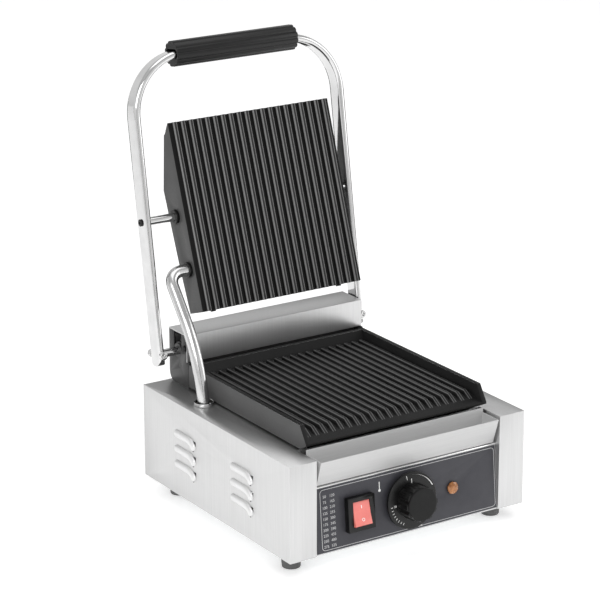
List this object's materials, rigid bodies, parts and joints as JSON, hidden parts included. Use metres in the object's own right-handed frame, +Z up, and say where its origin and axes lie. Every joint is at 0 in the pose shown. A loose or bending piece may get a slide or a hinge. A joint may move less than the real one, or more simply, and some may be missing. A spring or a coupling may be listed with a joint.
{
  "type": "contact grill",
  "caption": "Countertop contact grill with a ribbed iron lower plate, a ribbed lid plate on a bent tube handle, a front control panel and a drip tray.",
  "frame": {"origin": "centre of the grill's outline on the table it stands on", "axes": "+X to the grill's right as the cook stands facing it, +Y to its back, +Z up"},
  "size_m": [0.296, 0.361, 0.4798],
  "materials": {
    "brushed_casing": "brushed, satin",
    "galvanised_sheet": "dull zinc",
    "panel_print": "printed film, fine grain",
    "foot_rubber": "matt",
    "zinc_screw": "plated",
    "cast_plate": "fine sand-cast, oiled dark",
    "heater_sheath": "heat tinted",
    "insulation_board": "fibre board",
    "ceramic": "unglazed",
    "copper": "drawn tube",
    "black_plastic": "moulded",
    "amber_lens": "translucent, faceted",
    "wire_sleeve": "braided glass sleeve",
    "black_steel": "baked black coat",
    "black_screw": "black oxide",
    "bronze_bush": "sintered",
    "spring_steel": "drawn wire",
    "bright_chrome": "mirror",
    "red_rocker": "translucent",
    "grip_plastic": "moulded, satin"
  },
  "bodies": {
    "grill_base": {"side_casing_left": "brushed_casing", "side_casing_right": "brushed_casing", "louvre_hoods": "brushed_casing", "rear_panel": "brushed_casing", "base_plate": "galvanised_sheet", "deck_plate": "brushed_casing", "control_panel": "brushed_casing", "panel_overlay": "panel_print", "rubber_feet": "foot_rubber", "foot_screws": "zinc_screw", "lower_plate": "cast_plate", "lower_plate_bolts": "zinc_screw", "lower_heater": "heater_sheath", "lower_clamp_plate": "galvanised_sheet", "lower_insulation": "insulation_board", "thermostat_body": "ceramic", "thermostat_bulb": "copper", "rocker_housing": "black_plastic", "pilot_lamp_body": "black_plastic", "pilot_lens": "amber_lens", "terminal_block": "ceramic", "cable_gland": "black_plastic", "gland_nut": "black_plastic", "wiring_loom": "wire_sleeve", "hinge_side_left": "black_steel", "hinge_side_right": "black_steel", "hinge_cover": "brushed_casing", "hinge_screws": "black_screw", "shaft_bushes": "bronze_bush", "lid_stop_bar": "zinc_screw", "balance_springs": "spring_steel", "conduit_grommet": "bright_chrome"},
    "drip_tray": {"drip_tray": "brushed_casing"},
    "thermostat_knob": {"thermostat_spindle": "zinc_screw", "knob_skirt": "black_plastic", "knob_grip": "black_plastic"},
    "power_rocker": {"rocker_button": "red_rocker"},
    "lid_frame": {"lid_shaft": "bright_chrome", "stop_lever": "zinc_screw", "handle_frame": "bright_chrome", "handle_grip": "grip_plastic", "clamp_bolts": "black_screw", "clamp_nuts": "bright_chrome", "stub_pins": "bright_chrome", "pin_screws": "black_screw"},
    "press_plate": {"upper_plate": "cast_plate", "upper_cover": "black_steel", "cover_screws": "zinc_screw", "upper_heater": "heater_sheath", "upper_clamp_plate": "galvanised_sheet", "upper_insulation": "insulation_board", "pin_bushes": "black_plastic", "conduit_collar": "black_plastic", "rear_edge_screws": "black_screw"},
    "conduit": {"conduit_tube": "bright_chrome"}
  },
  "joints": [
    {"name": "lid_hinge", "type": "hinge", "parent": "grill_base", "child": "lid_frame", "pos_m": [0, 0.1169, 0.157], "axis": [1, 0, 0], "range_deg": [0, 97.16]},
    {"name": "plate_tilt", "type": "hinge", "parent": "lid_frame", "child": "press_plate", "pos_m": [0, 0.13939, 0.29741], "axis": [1, 0, 0], "range_deg": [0, 12.26]},
    {"name": "conduit_swivel", "type": "hinge", "parent": "press_plate", "child": "conduit", "pos_m": [0, 0.11503, 0.24501], "axis": [1, 0, 0], "range_deg": [-50.26, 0]},
    {"name": "thermostat_knob_turn", "type": "hinge", "parent": "grill_base", "child": "thermostat_knob", "pos_m": [0.001, -0.14934, 0.05285], "axis": [0, -0.9959, 0.0906], "range_deg": [-270, 0]},
    {"name": "rocker_switch", "type": "hinge", "parent": "grill_base", "child": "power_rocker", "pos_m": [-0.061, -0.15432, 0.05331], "axis": [1, 0, 0], "range_deg": [0, 25]},
    {"name": "drip_tray_slide", "type": "slide", "parent": "grill_base", "child": "drip_tray", "axis": [0, -1, 0], "range_m": [0, 0.12]}
  ],
  "couplings": [
    {"joint": "plate_tilt", "follows": "lid_hinge", "ratio": 0.12411},
    {"joint": "conduit_swivel", "follows": "lid_hinge", "ratio": -0.51298}
  ]
}
